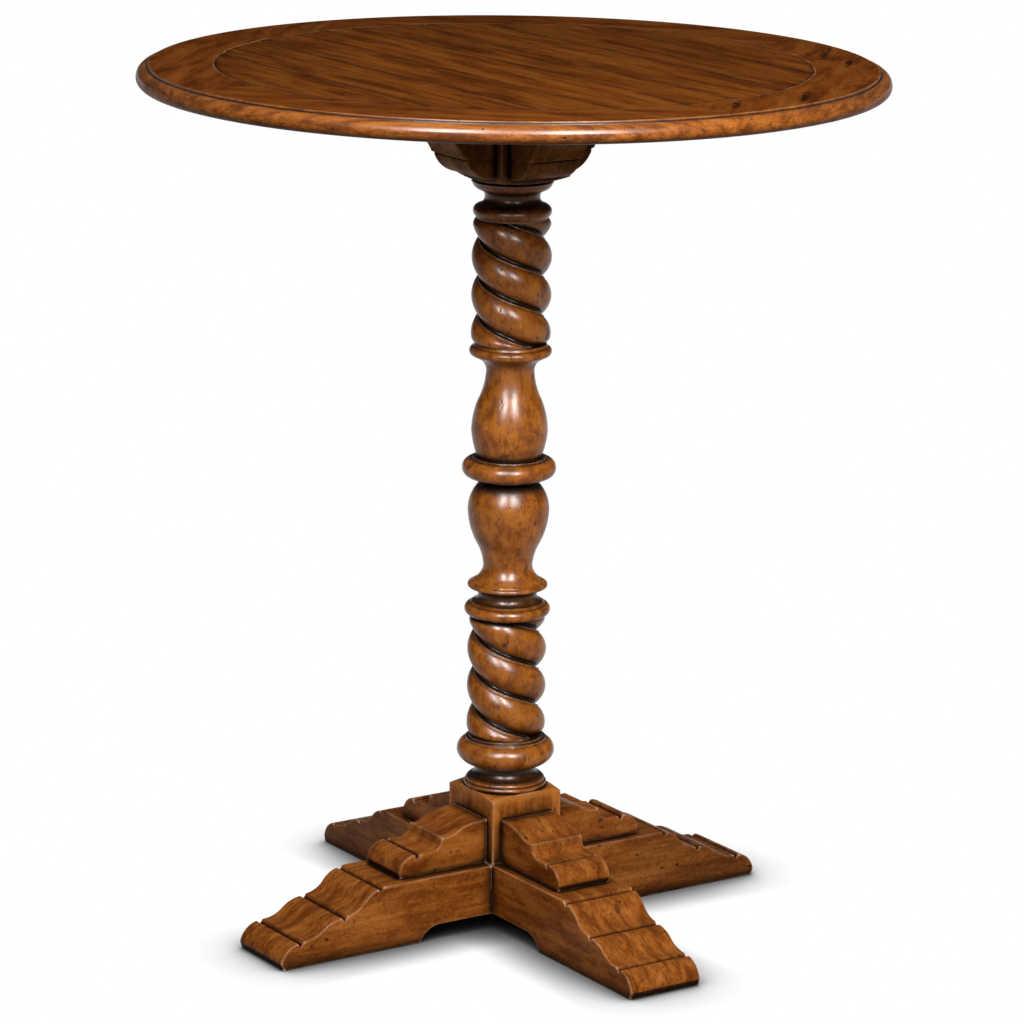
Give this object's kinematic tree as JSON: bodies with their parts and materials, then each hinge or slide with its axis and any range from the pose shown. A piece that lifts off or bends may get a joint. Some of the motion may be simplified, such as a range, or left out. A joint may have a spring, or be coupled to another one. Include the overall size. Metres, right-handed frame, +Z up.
{
  "type": "pedestal bar table",
  "caption": "Round boarded top with a bullnose rim on a turned column with two barley twists, over crossed scalloped feet.",
  "frame": {"origin": "on the floor, on the axis of the column", "axes": "+Z up along the column, one foot rail along X and the other along Y, boards of the top along Y"},
  "size_m": [0.9143, 0.9144, 1.0795],
  "materials": {
    "board_wood": "distressed satin lacquer over brown stain, grain along the boards",
    "rim_wood": "distressed satin lacquer over brown stain, dark glaze in the shoulder",
    "block_wood": "satin lacquer over brown stain, worn edges",
    "corbel_wood": "satin lacquer over dark brown stain",
    "column_wood": "satin lacquer over brown stain, dark glaze in the grooves",
    "rail_wood": "distressed satin lacquer over brown stain, worn edges",
    "bracket_wood": "satin lacquer over brown stain, worn edges"
  },
  "bodies": {
    "root": {"field_board_1": "board_wood", "field_board_2": "board_wood", "field_board_3": "board_wood", "field_board_4": "board_wood", "field_board_5": "board_wood", "field_board_6": "board_wood", "field_board_7": "board_wood", "field_board_8": "board_wood", "rim": "rim_wood", "top_block": "block_wood", "corbel_right_back": "corbel_wood", "corbel_left_back": "corbel_wood", "corbel_left_front": "corbel_wood", "corbel_right_front": "corbel_wood", "column": "column_wood", "base_block": "block_wood", "foot_rail_under": "rail_wood", "foot_rail_over": "rail_wood", "base_bracket_right_back": "bracket_wood", "base_bracket_left_back": "bracket_wood", "base_bracket_left_front": "bracket_wood", "base_bracket_right_front": "bracket_wood"}
  },
  "joints": []
}
